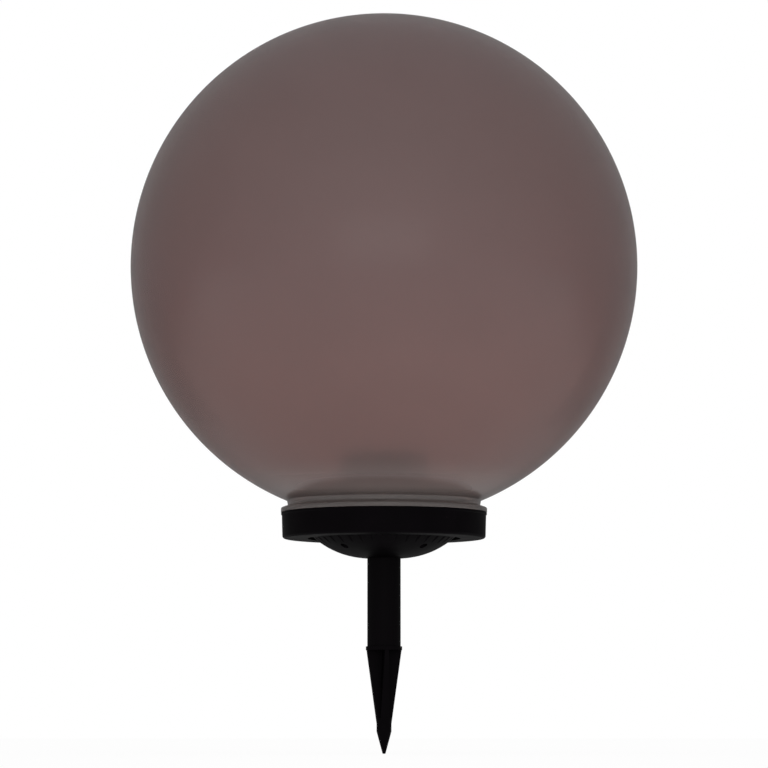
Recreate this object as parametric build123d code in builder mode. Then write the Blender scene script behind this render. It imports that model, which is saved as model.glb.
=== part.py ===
from build123d import *
import os
from math import asin, cos, degrees, sin, sqrt

# Garden globe light on a ground stake, in millimetres.
# The origin is on the stake's axis at the ground line, the top face of the spike's collar. +Z is up.
# The side that is seen from the front faces -Y.

# ---------------------------------------------------------------- driving dimensions
# Globe
globe_radius = 250.0
globe_wall = 2.4
globe_centre_z = 374.0
neck_radius = 94.5
lip_radius = 101.2
lip_edge_height = 4.4  # upright edge of the lip
lip_slope_height = 2.2  # rise of the lip's top from its edge to the neck
neck_blend = 2.5
lip_blend = 1.4
neck_part_z = 139.8  # the neck and the sphere over it are one moulding, kept as two nodes that meet here

# Base housing, a shallow cup that the globe screws into
base_z = 105.5  # underside
base_height = 25.5
base_top_radius = 100.3
base_bottom_radius = 99.75
base_wall = 2.5
base_corner = 2.6
base_bead = 0.7  # how far the rim's bead stands proud
base_bead_height = 2.1
recess_radius = 75.0
recess_depth = 5.6
plate_thickness = 2.4
lip_gap = 0.1  # between the globe's lip and the rim, so that the seal carries the globe

# Three-start thread of the globe
thread_starts = 3
thread_lead = 24.0
ridge_span = 190.0
ridge_crest = 96.7
ridge_root_half = 1.2
ridge_crest_half = 0.9
ridge_start_z = 114.0
lug_span = 30.0
lug_middle_angle = 130.0
lug_crest = 95.4
lug_rise = 3.3  # from the ridge's centre line up to the lug's

# Globe seal
seal_inner = 91.6
seal_outer = 96.6
seal_height = 2.5

# Dome under the base, with the stake's socket
dome_arc_radius = 82.0
dome_arc_centre_r = 15.0
dome_bottom_z = 86.3
dome_wall = 2.2
dome_flange_radius = 74.6
dome_flange_height = 2.3
socket_wall = 2.4
socket_clearance = 0.05
flute_count = 36
flute_mean_radius = 62.5
flute_length = 14.0
flute_small = 1.3
flute_large = 2.7
flute_offset = 1.4  # the flutes' axes lie this far outside the dome

# Stake
tube_radius = 16.35
tube_bore = 14.55
tube_chamfer = 0.6
peg_radius = 14.5
peg_height = 26.0
peg_chamfer = 1.5
collar_radius = 17.75
collar_height = 3.6
spike_top_radius = 17.2
spike_nose_radius = 7.3
spike_shoulder_z = -75.4
spike_nose_z = -82.7
spike_tip_z = -104.4
spike_tip_radius = 1.4
spike_tip_blend = 0.8
fin_thickness = 4.0
fin_turn = 10.0
valley_length = 66.0
valley_taper = 2.2

# Screws: head radius, head height, shank radius, shank length
dome_screw = (3.3, 2.3, 1.6, 18.0)
module_screw = (3.2, 2.2, 1.6, 7.4)
board_screw = (2.3, 1.6, 1.25, 6.0)
head_rounding = 0.45  # share of a head's height
shank_point = 0.4  # share of a shank's radius
screw_clearance = 0.05
head_clearance = 0.4
blind_skin = 1.2  # left over the end of a blind hole
cutter_reach = 28.0  # a cutter this long passes right through the dome
dome_screw_circle = 54.0
dome_screw_seat_z = 101.0
dome_boss_radius = 5.6
plate_boss_radius = 4.1
plate_boss_height = 7.0
module_screw_circle = 86.8
module_boss_radius = 3.6

# Lamp module, the closed housing that stands in the globe's neck
module_radius = 83.0
module_wall = 2.2
module_top_z = 153.5
module_edge = 1.5
module_seal_height = 1.5
ear_radius = 3.8
ear_thickness = 2.5
ear_z = 112.0
turret_foot_radius = 44.0
turret_top_radius = 41.5
turret_top_z = 188.5
turret_wall = 2.2
ledge_radius = 36.5
ledge_depth = 4.5

# Solar panel, light board and window
solar_radius = 39.2
board_thickness = 1.6
solar_cell_count = 6
solar_cell_pitch = 11.6
solar_cell_gap = 0.8
solar_cell_circle = 36.0
solar_cell_thickness = 0.4
solar_cover_edge = 1.0
light_board_inner = 48.0
light_board_outer = 77.0
light_count = 12
light_circle = 62.0
light_side = 5.0
light_height = 1.6
light_lens_radius = 2.0
light_lens_depth = 0.3
window_inner = 45.5
window_outer = 80.0
window_height = 5.3
window_wall = 1.5
window_edge = 1.2

# Battery, one round cell lying along X
cell_radius = 9.2
cell_length = 64.0
cell_edge = 0.9
cell_cap_radius = 2.9
cell_cap_length = 2.0
cell_y = -17.0
tray_length = 78.0
tray_width = 21.4
tray_height = 13.0
tray_floor = 2.0
tray_end_wall = 1.7
tray_side_wall = 1.3
contact_thickness = 0.5
contact_width = 10.0
contact_height = 15.5
coil_radius = 4.2
coil_wire = 0.4
coil_pitch = 2.2

# Controller board, on four posts
board_length = 54.0
board_width = 46.0
board_y = 30.0
board_z = 122.0
post_radius = 3.0
post_inset = 4.0

# Push button in the back of the dome
button_y = 44.0
button_radius = 5.5
button_travel = 1.8
button_face_z = 91.5
button_flange_radius = 7.0
button_flange_height = 1.5
button_stem_radius = 4.0
button_stem_top_z = 115.0
pocket_radius = 8.2
pocket_z = 94.0
running_gap = 0.3
grommet_radius = 6.2
grommet_flange = 8.0
grommet_lip = 0.8
button_edge = 1.2
switch_side = 6.5
switch_height = 3.5
plunger_radius = 1.75
plunger_gap = 0.1

# Controller board's components: middle x, y, then length, width, height, or radius and height
board_blocks = [
    (12.0, 41.0, 8.0, 5.0, 1.6),
    (0.0, 20.0, 7.0, 7.0, 4.2),
    (-12.0, 46.0, 10.0, 4.0, 6.0),
    (17.0, 30.0, 3.2, 2.0, 1.0),
    (9.0, 33.0, 2.0, 1.2, 0.8),
]
board_cans = [(0.0, 31.0, 4.5, 4.0), (-13.0, 38.0, 3.0, 9.0)]

# Leads
lead_radius = 0.8
lead_bend = 5.0
light_lead_spots = [(-52.0, 16.0), (-52.0, 24.0)]
solar_lead_x = 6.0

# ---------------------------------------------------------------- derived dimensions
ABOVE = (Align.CENTER, Align.CENTER, Align.MIN)
BELOW = (Align.CENTER, Align.CENTER, Align.MAX)
rim_z = base_z + base_height
plate_low_z = base_z + recess_depth
plate_top_z = plate_low_z + plate_thickness
floor_z = base_z + base_wall
cup_radius = base_top_radius - base_wall
seal_top_z = floor_z + seal_height
bead_radius = base_top_radius + base_bead
bead_low_z = rim_z - base_bead_height
flat_radius = base_bottom_radius - base_corner
lip_low_z = rim_z + lip_gap
lip_edge_z = lip_low_z + lip_edge_height
lip_high_z = lip_edge_z + lip_slope_height
globe_inner_radius = globe_radius - globe_wall
neck_inner_radius = neck_radius - globe_wall
dome_arc_centre_z = dome_bottom_z + dome_arc_radius
socket_radius = tube_radius + socket_clearance
socket_outer = socket_radius + socket_wall
dome_flange_z = plate_low_z - dome_flange_height
flute_slope = asin((flute_mean_radius - dome_arc_centre_r) / dome_arc_radius)
tube_length = plate_low_z
module_low_z = floor_z + module_seal_height
deck_low_z = module_top_z - module_wall
ledge_z = turret_top_z - ledge_depth
solar_cover_z = ledge_z + board_thickness + solar_cell_thickness
window_top_z = module_top_z + window_height
board_top_z = board_z + board_thickness
cell_z = plate_top_z + tray_floor + cell_radius
tray_inner_end = tray_length / 2 - tray_end_wall
contact_face = tray_inner_end - contact_thickness
cell_start = contact_face - cell_cap_length - cell_length
pocket_floor_z = pocket_z + dome_wall
switch_low_z = board_z - switch_height
plunger_length = switch_low_z - button_stem_top_z - button_travel - plunger_gap
lug_start_angle = lug_middle_angle - lug_span / 2
lug_start_z = ridge_start_z + lug_rise + thread_lead * lug_start_angle / 360
post_spots = GridLocations(board_length - 2 * post_inset, board_width - 2 * post_inset, 2, 2).locations

# Routes of the leads, from the part that each one serves to the controller board
lead_low_z = 132.0
lead_high_z = 140.0
contact_top_z = plate_top_z + tray_floor + contact_height
contact_x = contact_face + contact_thickness / 2
solar_foot = (10.0, 12.0)
light_feet = [(-20.0, 22.0), (-20.0, 31.0)]
battery_foot = (20.0, 18.0)
lead_routes = {}
for colour, side in (("red", 1), ("black", -1)):
    lead_routes[f"solar_lead_{colour}"] = [
        (side * solar_lead_x, 0, ledge_z),
        (side * solar_lead_x, 0, lead_high_z),
        (side * solar_foot[0], solar_foot[1], lead_low_z),
        (side * solar_foot[0], solar_foot[1], board_top_z),
    ]
    lead_routes[f"battery_lead_{colour}"] = [
        (side * contact_x, cell_y, contact_top_z),
        (side * contact_x, cell_y, lead_high_z),
        (side * battery_foot[0], battery_foot[1], lead_high_z),
        (side * battery_foot[0], battery_foot[1], board_top_z),
    ]
for colour, spot, foot in zip(("red", "black"), light_lead_spots, light_feet):
    lead_routes[f"light_lead_{colour}"] = [
        (*spot, module_top_z),
        (*spot, lead_low_z),
        (*foot, lead_low_z),
        (*foot, board_top_z),
    ]


def sphere_height(radius, r):
    """Distance below a sphere's centre at which the sphere has the radius r."""
    return sqrt(radius**2 - r**2)


def dome_surface_z(r, depth=0.0):
    """Height of the dome at the radius r, or of the surface that lies depth inside it."""
    return dome_arc_centre_z - sphere_height(dome_arc_radius - depth, r - dome_arc_centre_r)


def dome_surface_r(z, depth=0.0):
    """Radius at which the dome, or the surface depth inside it, reaches the height z."""
    return dome_arc_centre_r + sphere_height(dome_arc_radius - depth, dome_arc_centre_z - z)


def corner(profile, x, y):
    """The vertex of a profile that is nearest to a point."""
    return profile.vertices().sort_by_distance((x, y, 0))[0]


def save(piece, name):
    """Label a finished piece and write it."""
    piece.part.label = name
    export_step(piece.part, f"parts/{name}.step")


def pan_screw(head_radius, head_height, shank_radius, shank_length):
    """A pan-head screw with a cross recess, head up, with the seat of its head at the origin."""
    with BuildPart() as screw:
        Cylinder(head_radius, head_height, align=ABOVE)
        fillet(screw.edges().group_by(Axis.Z)[-1], head_height * head_rounding)
        with Locations((0, 0, head_height)):
            Box(head_radius, head_radius / 4, head_height, mode=Mode.SUBTRACT)
            Box(head_radius / 4, head_radius, head_height, mode=Mode.SUBTRACT)
        Cylinder(shank_radius, shank_length, align=BELOW)
        chamfer(screw.edges().group_by(Axis.Z)[0], shank_radius * shank_point)
    return screw.part


def helical_rib(root_radius, crest_radius, start_z, start_angle, span):
    """A stretch of thread between two radii, along the lead that the globe and the base share."""
    with BuildPart() as rib:
        with BuildLine():
            path = Helix(thread_lead, thread_lead * span / 360, root_radius, center=(0, 0, start_z))
        with BuildSketch(Plane.XZ):
            with BuildLine():
                Polyline(
                    (root_radius, start_z - ridge_root_half),
                    (crest_radius, start_z - ridge_crest_half),
                    (crest_radius, start_z + ridge_crest_half),
                    (root_radius, start_z + ridge_root_half),
                    close=True,
                )
            make_face()
        sweep(path=path, is_frenet=True)
    return rib.part.rotate(Axis.Z, start_angle)


def lead(*points):
    """An insulated lead through the given points."""
    with BuildPart() as wire:
        with BuildLine() as route:
            FilletPolyline(*points, radius=lead_bend)
        with BuildSketch(Plane(origin=route.line @ 0, z_dir=route.line % 0)):
            Circle(lead_radius)
        sweep(path=route.line)
    return wire


os.makedirs("parts", exist_ok=True)

# ---------------------------------------------------------------- ground spike
# A collar and a peg above four fins, which run out into a solid point.
with BuildPart() as ground_spike:
    with BuildSketch(Plane.XZ):
        with BuildLine():
            Polyline(
                (0, spike_tip_z),
                (spike_tip_radius, spike_tip_z),
                (spike_nose_radius, spike_nose_z),
                (spike_nose_radius, spike_shoulder_z),
                (spike_top_radius, -collar_height),
                (collar_radius, -collar_height),
                (collar_radius, 0),
                (peg_radius, 0),
                (peg_radius, peg_height - peg_chamfer),
                (peg_radius - peg_chamfer, peg_height),
                (0, peg_height),
                close=True,
            )
        make_face()
    revolve(axis=Axis.Z)
    with BuildSketch(Plane.XY.offset(-collar_height)):
        with PolarLocations(0, 4, start_angle=fin_turn):
            with Locations((fin_thickness / 2, fin_thickness / 2)):
                Rectangle(spike_top_radius, spike_top_radius, align=(Align.MIN, Align.MIN))
    extrude(amount=-valley_length, taper=valley_taper, mode=Mode.SUBTRACT)
    fillet(ground_spike.edges().group_by(Axis.Z)[0], spike_tip_blend)
save(ground_spike, "ground_spike")

# ---------------------------------------------------------------- stake tube
with BuildPart() as stake_tube:
    with BuildSketch():
        Circle(tube_radius)
        Circle(tube_bore, mode=Mode.SUBTRACT)
    extrude(amount=tube_length)
    outer_ends = stake_tube.edges().filter_by(GeomType.CIRCLE).sort_by(SortBy.RADIUS)[-2:]
    chamfer(outer_ends.sort_by(Axis.Z)[-1], tube_chamfer)
save(stake_tube, "stake_tube")

# ---------------------------------------------------------------- dome cover
# A shallow bowl under the base, with the stake's socket, four screw bosses and the button's pocket.
with BuildPart() as dome_hollow:
    with BuildSketch(Plane.XZ):
        with BuildLine():
            hollow_low = (socket_outer, dome_surface_z(socket_outer, dome_wall))
            hollow_high = (dome_surface_r(plate_low_z, dome_wall), plate_low_z)
            RadiusArc(hollow_low, hollow_high, -(dome_arc_radius - dome_wall))
            Polyline(hollow_high, (socket_outer, plate_low_z), hollow_low)
        make_face()
    revolve(axis=Axis.Z)
    with PolarLocations(dome_screw_circle, 4, start_angle=45):
        with Locations((0, 0, plate_low_z)):
            Cylinder(dome_boss_radius, cutter_reach, align=BELOW, mode=Mode.SUBTRACT)
    with Locations((0, button_y, pocket_floor_z)):
        Cylinder(pocket_radius + dome_wall, cutter_reach, align=BELOW, mode=Mode.SUBTRACT)
        Cylinder(button_flange_radius + running_gap, plate_low_z - pocket_floor_z, align=ABOVE)

with BuildPart() as dome_cover:
    with BuildSketch(Plane.XZ):
        with BuildLine():
            bowl_low = (socket_radius, dome_surface_z(socket_radius))
            bowl_high = (dome_surface_r(dome_flange_z), dome_flange_z)
            RadiusArc(bowl_low, bowl_high, -dome_arc_radius)
            Polyline(
                bowl_high,
                (dome_flange_radius, dome_flange_z),
                (dome_flange_radius, plate_low_z),
                (socket_radius, plate_low_z),
                bowl_low,
            )
        make_face()
    revolve(axis=Axis.Z)
    add(dome_hollow.part, mode=Mode.SUBTRACT)
    # counterbored screw holes
    with PolarLocations(dome_screw_circle, 4, start_angle=45):
        with Locations((0, 0, dome_screw_seat_z)):
            Cylinder(dome_screw[0] + head_clearance, cutter_reach, align=BELOW, mode=Mode.SUBTRACT)
            Cylinder(dome_screw[2] + running_gap, cutter_reach, align=ABOVE, mode=Mode.SUBTRACT)
    # the button's pocket and the hole in its floor
    with Locations((0, button_y, pocket_z)):
        Cylinder(pocket_radius, cutter_reach, align=BELOW, mode=Mode.SUBTRACT)
        Cylinder(button_radius + running_gap, dome_wall, align=ABOVE, mode=Mode.SUBTRACT)
    # flutes around the rim, deepest at its outer edge
    flute_axis_r = flute_mean_radius + flute_offset * sin(flute_slope)
    flute_axis_z = dome_surface_z(flute_mean_radius) - flute_offset * cos(flute_slope)
    with PolarLocations(0, flute_count):
        with Locations(Location((flute_axis_r, 0, flute_axis_z), (0, 90 - degrees(flute_slope), 0))):
            Cone(flute_small, flute_large, flute_length, mode=Mode.SUBTRACT)
save(dome_cover, "dome_cover")

with BuildPart() as dome_screws:
    with PolarLocations(dome_screw_circle, 4, start_angle=45):
        with Locations(Location((0, 0, dome_screw_seat_z), (180, 0, 0))):
            add(pan_screw(*dome_screw))
save(dome_screws, "dome_screws")

# ---------------------------------------------------------------- base housing
# A cup with a raised middle plate. Three lugs near its rim catch the globe's thread.
base_lug = helical_rib(base_top_radius - base_wall / 2, lug_crest, lug_start_z, lug_start_angle, lug_span)
with BuildPart() as base_housing:
    with BuildSketch(Plane.XZ):
        with BuildLine():
            Polyline((recess_radius, plate_low_z), (recess_radius, base_z), (flat_radius, base_z))
            RadiusArc((flat_radius, base_z), (base_bottom_radius, base_z + base_corner), -base_corner)
            Polyline(
                (base_bottom_radius, base_z + base_corner),
                (base_top_radius, bead_low_z - base_bead),
                (bead_radius, bead_low_z),
                (bead_radius, rim_z - base_bead / 2),
                (bead_radius - base_bead / 2, rim_z),
                (cup_radius, rim_z),
                (cup_radius, floor_z),
                (recess_radius + base_wall, floor_z),
                (recess_radius + base_wall, plate_top_z),
                (0, plate_top_z),
                (0, plate_low_z),
                (recess_radius, plate_low_z),
            )
        make_face()
    revolve(axis=Axis.Z)
    with PolarLocations(0, thread_starts):
        add(base_lug)
    # bosses for the module's screws, on the cup's floor
    with PolarLocations(module_screw_circle, 4, start_angle=45):
        with Locations((0, 0, floor_z)):
            Cylinder(module_boss_radius, ear_z - floor_z, align=ABOVE)
        with Locations((0, 0, ear_z)):
            Cylinder(
                module_screw[2] + screw_clearance,
                ear_z - base_z - blind_skin,
                align=BELOW,
                mode=Mode.SUBTRACT,
            )
    # blind bosses for the dome's screws, above the plate
    with PolarLocations(dome_screw_circle, 4, start_angle=45):
        with Locations((0, 0, plate_top_z)):
            Cylinder(plate_boss_radius, plate_boss_height, align=ABOVE)
        with Locations((0, 0, plate_low_z)):
            Cylinder(
                dome_screw[2] + screw_clearance,
                plate_thickness + plate_boss_height - blind_skin,
                align=ABOVE,
                mode=Mode.SUBTRACT,
            )
    # posts under the controller board
    with Locations((0, board_y, plate_top_z)):
        with Locations(post_spots):
            Cylinder(post_radius, board_z - plate_top_z, align=ABOVE)
    with Locations((0, board_y, board_z)):
        with Locations(post_spots):
            Cylinder(board_screw[2] + screw_clearance, board_screw[3], align=BELOW, mode=Mode.SUBTRACT)
    # hole for the button's stem and its grommet
    with Locations((0, button_y, plate_low_z)):
        Cylinder(grommet_radius, plate_thickness, align=ABOVE, mode=Mode.SUBTRACT)
save(base_housing, "base_housing")

# ---------------------------------------------------------------- globe and its seal
with BuildPart() as globe_seal:
    with BuildSketch(Plane.XY.offset(floor_z)):
        Circle(seal_outer)
        Circle(seal_inner, mode=Mode.SUBTRACT)
    extrude(amount=seal_height)
save(globe_seal, "globe_seal")

globe_ridge = helical_rib(neck_radius - globe_wall / 2, ridge_crest, ridge_start_z, 0, ridge_span)
with BuildPart() as blown_globe:
    with BuildSketch(Plane.XZ) as globe_profile:
        with BuildLine():
            top_outer = (0, globe_centre_z + globe_radius)
            neck_outer = (neck_radius, globe_centre_z - sphere_height(globe_radius, neck_radius))
            neck_inner = (
                neck_inner_radius,
                globe_centre_z - sphere_height(globe_inner_radius, neck_inner_radius),
            )
            top_inner = (0, globe_centre_z + globe_inner_radius)
            RadiusArc(top_outer, neck_outer, globe_radius)
            Polyline(
                neck_outer,
                (neck_radius, lip_high_z),
                (lip_radius, lip_edge_z),
                (lip_radius, lip_low_z),
                (neck_radius, lip_low_z),
                (neck_radius, seal_top_z),
                (neck_inner_radius, seal_top_z),
                neck_inner,
            )
            RadiusArc(neck_inner, top_inner, -globe_inner_radius)
            Line(top_inner, top_outer)
        make_face()
        # soft blends at the neck and round the lip
        fillet(corner(globe_profile, *neck_outer), neck_blend)
        fillet(corner(globe_profile, neck_radius, lip_high_z), lip_blend)
        fillet(corner(globe_profile, lip_radius, lip_edge_z), lip_blend)
    revolve(axis=Axis.Z)
    with PolarLocations(0, thread_starts):
        add(globe_ridge)

neck_part_plane = Plane.XY.offset(neck_part_z)
with BuildPart() as globe_neck:
    add(blown_globe.part)
    split(bisect_by=neck_part_plane, keep=Keep.BOTTOM)
save(globe_neck, "globe_neck")

with BuildPart() as globe:
    add(blown_globe.part)
    split(bisect_by=neck_part_plane, keep=Keep.TOP)
save(globe, "globe")

# ---------------------------------------------------------------- lamp module
# A round housing with a raised turret. The solar panel closes the turret's top.
with BuildPart() as module_seal:
    with BuildSketch(Plane.XY.offset(floor_z)):
        Circle(module_radius)
        Circle(module_radius - module_wall, mode=Mode.SUBTRACT)
    extrude(amount=module_seal_height)
save(module_seal, "module_seal")

with BuildPart() as module_cover:
    with BuildSketch(Plane.XZ) as module_profile:
        with BuildLine():
            Polyline(
                (module_radius - module_wall, module_low_z),
                (module_radius, module_low_z),
                (module_radius, module_top_z),
                (turret_foot_radius, module_top_z),
                (turret_top_radius, turret_top_z),
                (solar_radius + running_gap, turret_top_z),
                (solar_radius + running_gap, ledge_z),
                (ledge_radius, ledge_z),
                (ledge_radius, ledge_z - turret_wall),
                (turret_top_radius - turret_wall, ledge_z - 2 * turret_wall),
                (turret_foot_radius - turret_wall, deck_low_z),
                (module_radius - module_wall, deck_low_z),
                close=True,
            )
        make_face()
        fillet(corner(module_profile, module_radius, module_top_z), module_edge)
    revolve(axis=Axis.Z)
    # ears for the module's screws
    with BuildSketch(Plane.XY.offset(ear_z)):
        with PolarLocations(0, 4, start_angle=45):
            with Locations((module_screw_circle, 0)):
                Circle(ear_radius)
            with Locations((module_radius - module_wall / 2, 0)):
                Rectangle(
                    module_screw_circle - module_radius + module_wall / 2,
                    2 * ear_radius,
                    align=(Align.MIN, Align.CENTER),
                )
    extrude(amount=ear_thickness)
    with PolarLocations(module_screw_circle, 4, start_angle=45):
        with Locations((0, 0, ear_z)):
            Cylinder(module_screw[2] + running_gap, ear_thickness, align=ABOVE, mode=Mode.SUBTRACT)
    # holes in the deck for the light board's leads
    with Locations(*[(x, y, deck_low_z) for x, y in light_lead_spots]):
        Cylinder(lead_radius + running_gap, module_wall, align=ABOVE, mode=Mode.SUBTRACT)
save(module_cover, "module_cover")

with BuildPart() as module_screws:
    with PolarLocations(module_screw_circle, 4, start_angle=45):
        with Locations((0, 0, ear_z + ear_thickness)):
            add(pan_screw(*module_screw))
save(module_screws, "module_screws")

# ---------------------------------------------------------------- solar panel
with BuildPart() as solar_board:
    with Locations((0, 0, ledge_z)):
        Cylinder(solar_radius, board_thickness, align=ABOVE)
save(solar_board, "solar_board")

with BuildPart() as solar_cells:
    with BuildSketch(Plane.XY.offset(ledge_z + board_thickness)):
        with GridLocations(solar_cell_pitch, 0, solar_cell_count, 1):
            Rectangle(solar_cell_pitch - solar_cell_gap, 2 * solar_radius)
        Circle(solar_cell_circle, mode=Mode.INTERSECT)
    extrude(amount=solar_cell_thickness)
save(solar_cells, "solar_cells")

with BuildPart() as solar_cover:
    with Locations((0, 0, solar_cover_z)):
        Cylinder(solar_radius, turret_top_z - solar_cover_z, align=ABOVE)
    fillet(solar_cover.edges().group_by(Axis.Z)[-1], solar_cover_edge)
save(solar_cover, "solar_cover")

# ---------------------------------------------------------------- light board, lights and their window
with BuildPart() as light_board:
    with BuildSketch(Plane.XY.offset(module_top_z)):
        Circle(light_board_outer)
        Circle(light_board_inner, mode=Mode.SUBTRACT)
    extrude(amount=board_thickness)
save(light_board, "light_board")

with BuildPart() as lights:
    with PolarLocations(light_circle, light_count):
        with Locations((0, 0, module_top_z + board_thickness)):
            Box(light_side, light_side, light_height, align=ABOVE)
        with Locations((0, 0, module_top_z + board_thickness + light_height)):
            Cylinder(light_lens_radius, light_lens_depth, align=BELOW, mode=Mode.SUBTRACT)
save(lights, "lights")

with BuildPart() as light_window:
    with BuildSketch(Plane.XZ) as window_profile:
        with BuildLine():
            Polyline(
                (window_inner, module_top_z),
                (window_inner + window_wall, module_top_z),
                (window_inner + window_wall, window_top_z - window_wall),
                (window_outer - window_wall, window_top_z - window_wall),
                (window_outer - window_wall, module_top_z),
                (window_outer, module_top_z),
                (window_outer, window_top_z),
                (window_inner, window_top_z),
                close=True,
            )
        make_face()
        fillet(corner(window_profile, window_outer, window_top_z), window_edge)
    revolve(axis=Axis.Z)
save(light_window, "light_window")

# ---------------------------------------------------------------- battery
with BuildPart() as battery_tray:
    with Locations((0, cell_y, plate_top_z)):
        Box(tray_length, tray_width, tray_height, align=ABOVE)
    with Locations((0, cell_y, plate_top_z + tray_floor)):
        Box(
            tray_length - 2 * tray_end_wall,
            tray_width - 2 * tray_side_wall,
            tray_height,
            align=ABOVE,
            mode=Mode.SUBTRACT,
        )
save(battery_tray, "battery_tray")

with BuildPart() as battery_contacts:
    for side in (-1, 1):
        with Locations((side * (contact_face + contact_thickness / 2), cell_y, plate_top_z + tray_floor)):
            Box(contact_thickness, contact_width, contact_height, align=ABOVE)
save(battery_contacts, "battery_contacts")

with BuildPart() as battery_cell:
    with BuildSketch(Plane.YZ.offset(cell_start)):
        with Locations((cell_y, cell_z)):
            Circle(cell_radius)
    extrude(amount=cell_length)
    fillet(battery_cell.edges().filter_by(GeomType.CIRCLE), cell_edge)
    with BuildSketch(Plane.YZ.offset(contact_face)):
        with Locations((cell_y, cell_z)):
            Circle(cell_cap_radius)
    extrude(amount=-cell_cap_length)
save(battery_cell, "battery_cell")

with BuildPart() as battery_spring:
    with BuildLine():
        coil = Helix(
            coil_pitch,
            cell_start + contact_face - 2 * coil_wire,
            coil_radius,
            center=(coil_wire - contact_face, cell_y, cell_z),
            direction=(1, 0, 0),
        )
    with BuildSketch(Plane(origin=coil @ 0, z_dir=coil % 0)):
        Circle(coil_wire)
    sweep(path=coil, is_frenet=True)
save(battery_spring, "battery_spring")

# ---------------------------------------------------------------- controller board
with BuildPart() as controller_board:
    with Locations((0, board_y, board_z)):
        Box(board_length, board_width, board_thickness, align=ABOVE)
        with Locations(post_spots):
            Cylinder(board_screw[2] + running_gap, board_thickness, align=ABOVE, mode=Mode.SUBTRACT)
save(controller_board, "controller_board")

with BuildPart() as board_screws:
    with Locations((0, board_y, board_top_z)):
        with Locations(post_spots):
            add(pan_screw(*board_screw))
save(board_screws, "board_screws")

with BuildPart() as board_components:
    for x, y, length, width, height in board_blocks:
        with Locations((x, y, board_top_z)):
            Box(length, width, height, align=ABOVE)
    for x, y, radius, height in board_cans:
        with Locations((x, y, board_top_z)):
            Cylinder(radius, height, align=ABOVE)
save(board_components, "board_components")

# ---------------------------------------------------------------- push button and its switch
with BuildPart() as power_button:
    with Locations((0, button_y, button_face_z)):
        Cylinder(button_radius, pocket_floor_z - button_face_z, align=ABOVE)
    fillet(power_button.edges().group_by(Axis.Z)[0], button_edge)
    with Locations((0, button_y, pocket_floor_z)):
        Cylinder(button_flange_radius, button_flange_height, align=ABOVE)
        Cylinder(button_stem_radius, button_stem_top_z - pocket_floor_z, align=ABOVE)
save(power_button, "power_button")

with BuildPart() as button_grommet:
    with Locations((0, button_y, plate_low_z)):
        Cylinder(grommet_radius, plate_thickness, align=ABOVE)
        Cylinder(grommet_flange, grommet_lip, align=BELOW)
    with Locations((0, button_y, plate_top_z)):
        Cylinder(grommet_flange, grommet_lip, align=ABOVE)
    with Locations((0, button_y, plate_low_z - grommet_lip)):
        Cylinder(
            button_stem_radius + running_gap,
            plate_thickness + 2 * grommet_lip,
            align=ABOVE,
            mode=Mode.SUBTRACT,
        )
save(button_grommet, "button_grommet")

with BuildPart() as power_switch:
    with Locations((0, button_y, board_z)):
        Box(switch_side, switch_side, switch_height, align=BELOW)
    with Locations((0, button_y, switch_low_z)):
        Cylinder(plunger_radius, plunger_length, align=BELOW)
save(power_switch, "power_switch")

# ---------------------------------------------------------------- leads
# Each one runs whole from its part to the top of the controller board.
for name, route in lead_routes.items():
    save(lead(*route), name)
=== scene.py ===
"""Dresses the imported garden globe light.

It turns the smoked globe finely, adds the trim inside the lamp module, and gives every piece its finish.
"""

import logging
import math
from dataclasses import dataclass
from enum import Enum

import bmesh
import bpy
from mathutils import Matrix, Vector


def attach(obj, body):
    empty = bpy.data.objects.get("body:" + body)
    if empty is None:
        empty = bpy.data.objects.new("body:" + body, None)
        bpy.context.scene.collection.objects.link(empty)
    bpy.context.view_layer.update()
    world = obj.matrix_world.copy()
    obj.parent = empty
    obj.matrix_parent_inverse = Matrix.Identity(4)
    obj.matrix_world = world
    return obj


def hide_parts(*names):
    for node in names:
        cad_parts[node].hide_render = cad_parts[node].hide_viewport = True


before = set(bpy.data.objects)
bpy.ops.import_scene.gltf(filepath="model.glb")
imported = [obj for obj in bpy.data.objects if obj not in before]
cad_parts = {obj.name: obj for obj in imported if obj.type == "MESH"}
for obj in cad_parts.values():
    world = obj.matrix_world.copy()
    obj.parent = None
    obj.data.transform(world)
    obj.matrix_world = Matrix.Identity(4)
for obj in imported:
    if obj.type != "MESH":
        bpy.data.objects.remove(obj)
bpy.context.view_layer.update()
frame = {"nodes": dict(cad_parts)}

log = logging.getLogger("garden_globe_light")

MM = 0.001
FULL_TURN = 2 * math.pi
UP = Vector((0, 0, 1))

Colour = tuple[float, float, float]
Point = tuple[float, float, float]
Socket = bpy.types.NodeSocket
Mesh = bmesh.types.BMesh

WHITE: Colour = (1.0, 1.0, 1.0)


class Body(Enum):
    """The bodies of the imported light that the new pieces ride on."""

    BASE = "base"
    GLOBE = "globe"


# ---------------------------------------------------------------- node sheets

# Most of a noise's values lie between these two.
NOISE_LOW = 0.3
NOISE_HIGH = 0.7
NOISE_ROUGHNESS = 0.55

# Places of the factor and of the two colours among a mixing node's sockets.
MIX_SOCKETS = (0, 6, 7)
MIX_RESULT = 2


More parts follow.
